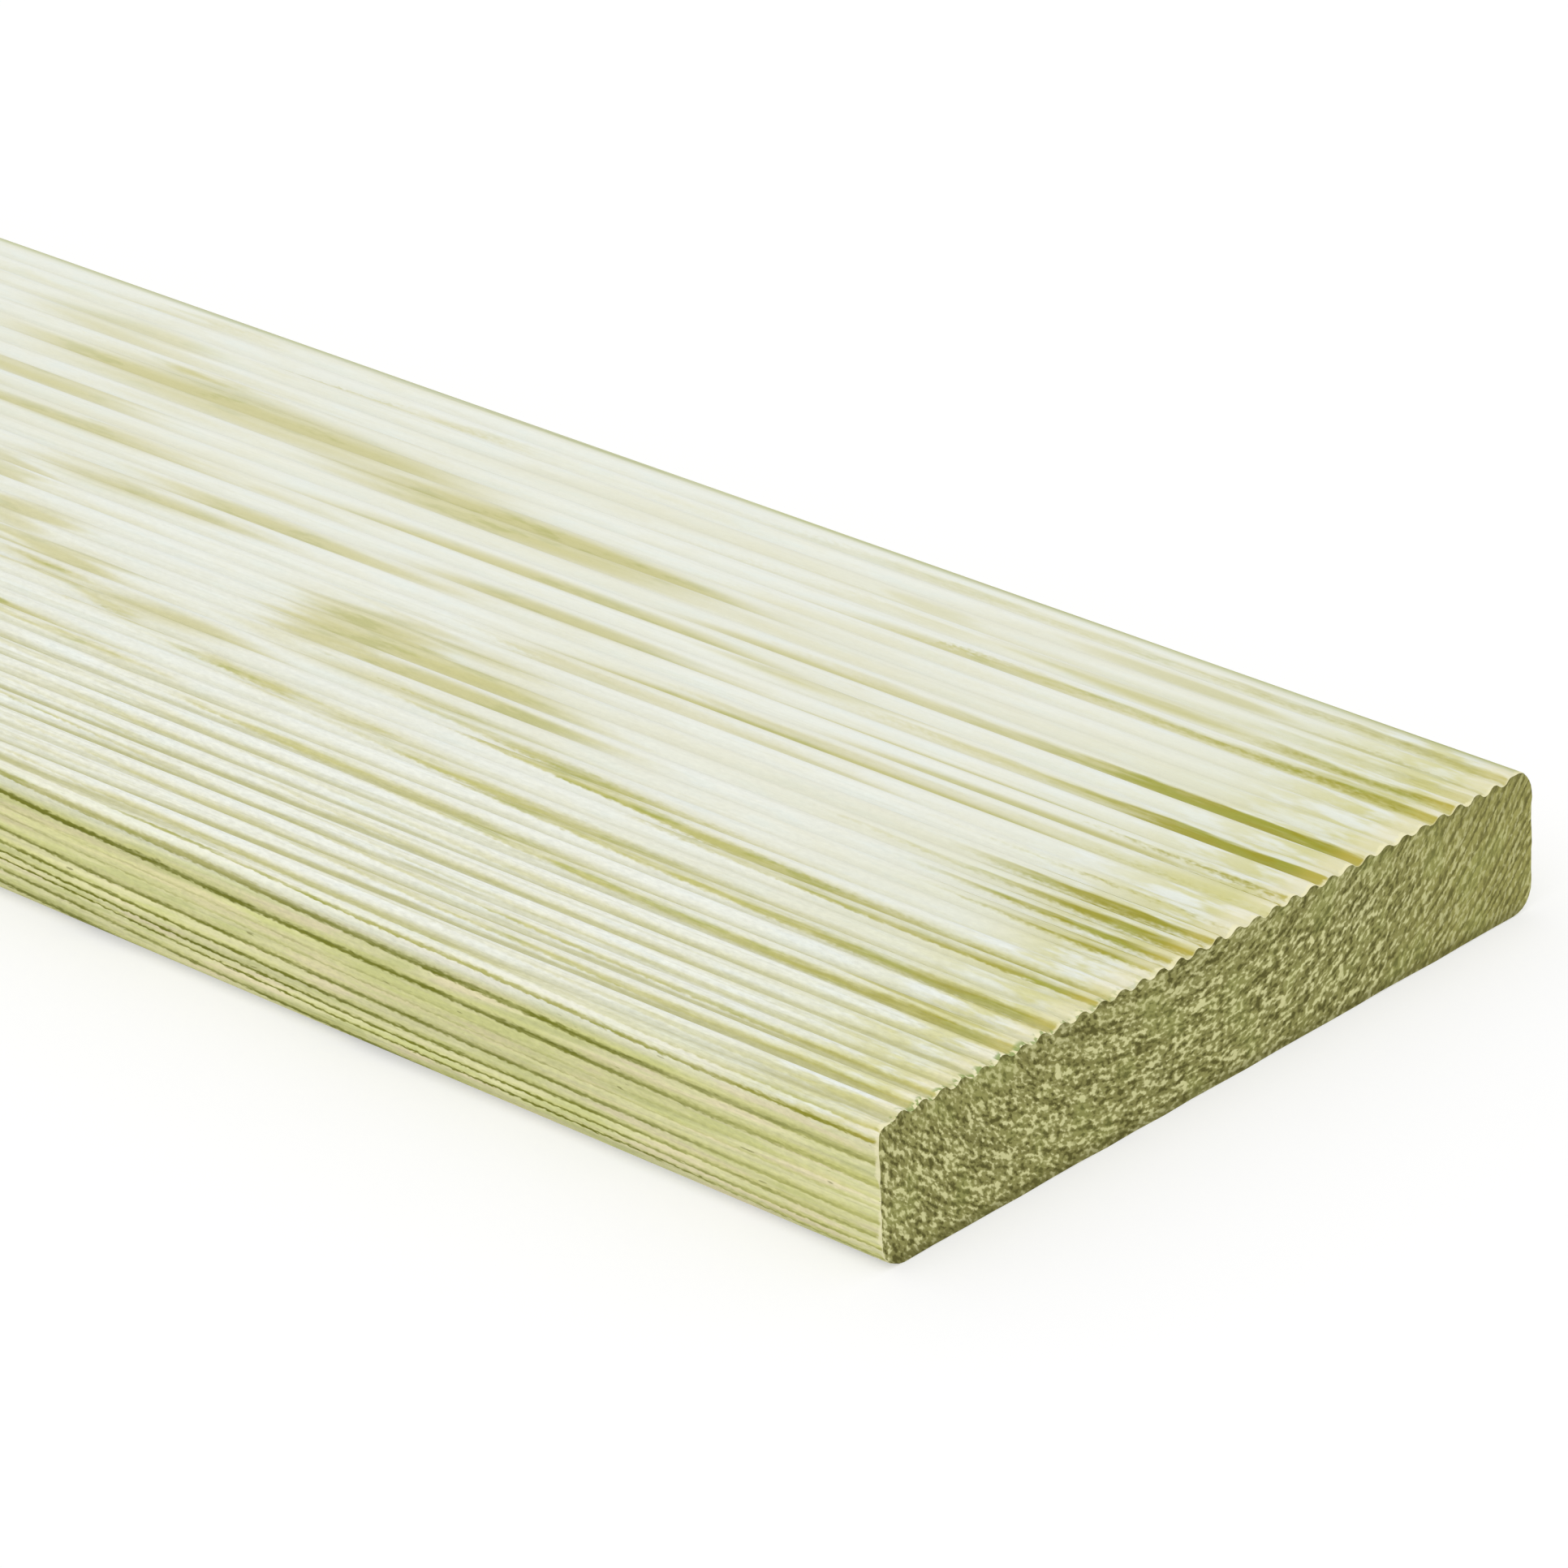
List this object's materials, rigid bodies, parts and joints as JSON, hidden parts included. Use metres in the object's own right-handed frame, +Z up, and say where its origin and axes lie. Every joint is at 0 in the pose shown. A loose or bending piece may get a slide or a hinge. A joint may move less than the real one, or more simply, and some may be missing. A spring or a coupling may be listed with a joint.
{
  "type": "decking board",
  "caption": "Ribbed softwood decking board: one flat plank with fine lengthwise anti-slip ribs on top, eased arrises and square-cut ends, laid across joists.",
  "frame": {"origin": "middle of the underside, where the board rests on a floor or joist", "axes": "+X along the board's length, towards the end nearest the picture's camera; +Y across the board, towards its more rounded top arris; +Z up, out of the ribbed face"},
  "size_m": [1.8, 0.145, 0.024],
  "materials": {
    "treated_pine": "planed, matt, pressure-treated"
  },
  "bodies": {
    "root": {"decking_board": "treated_pine"}
  },
  "joints": []
}
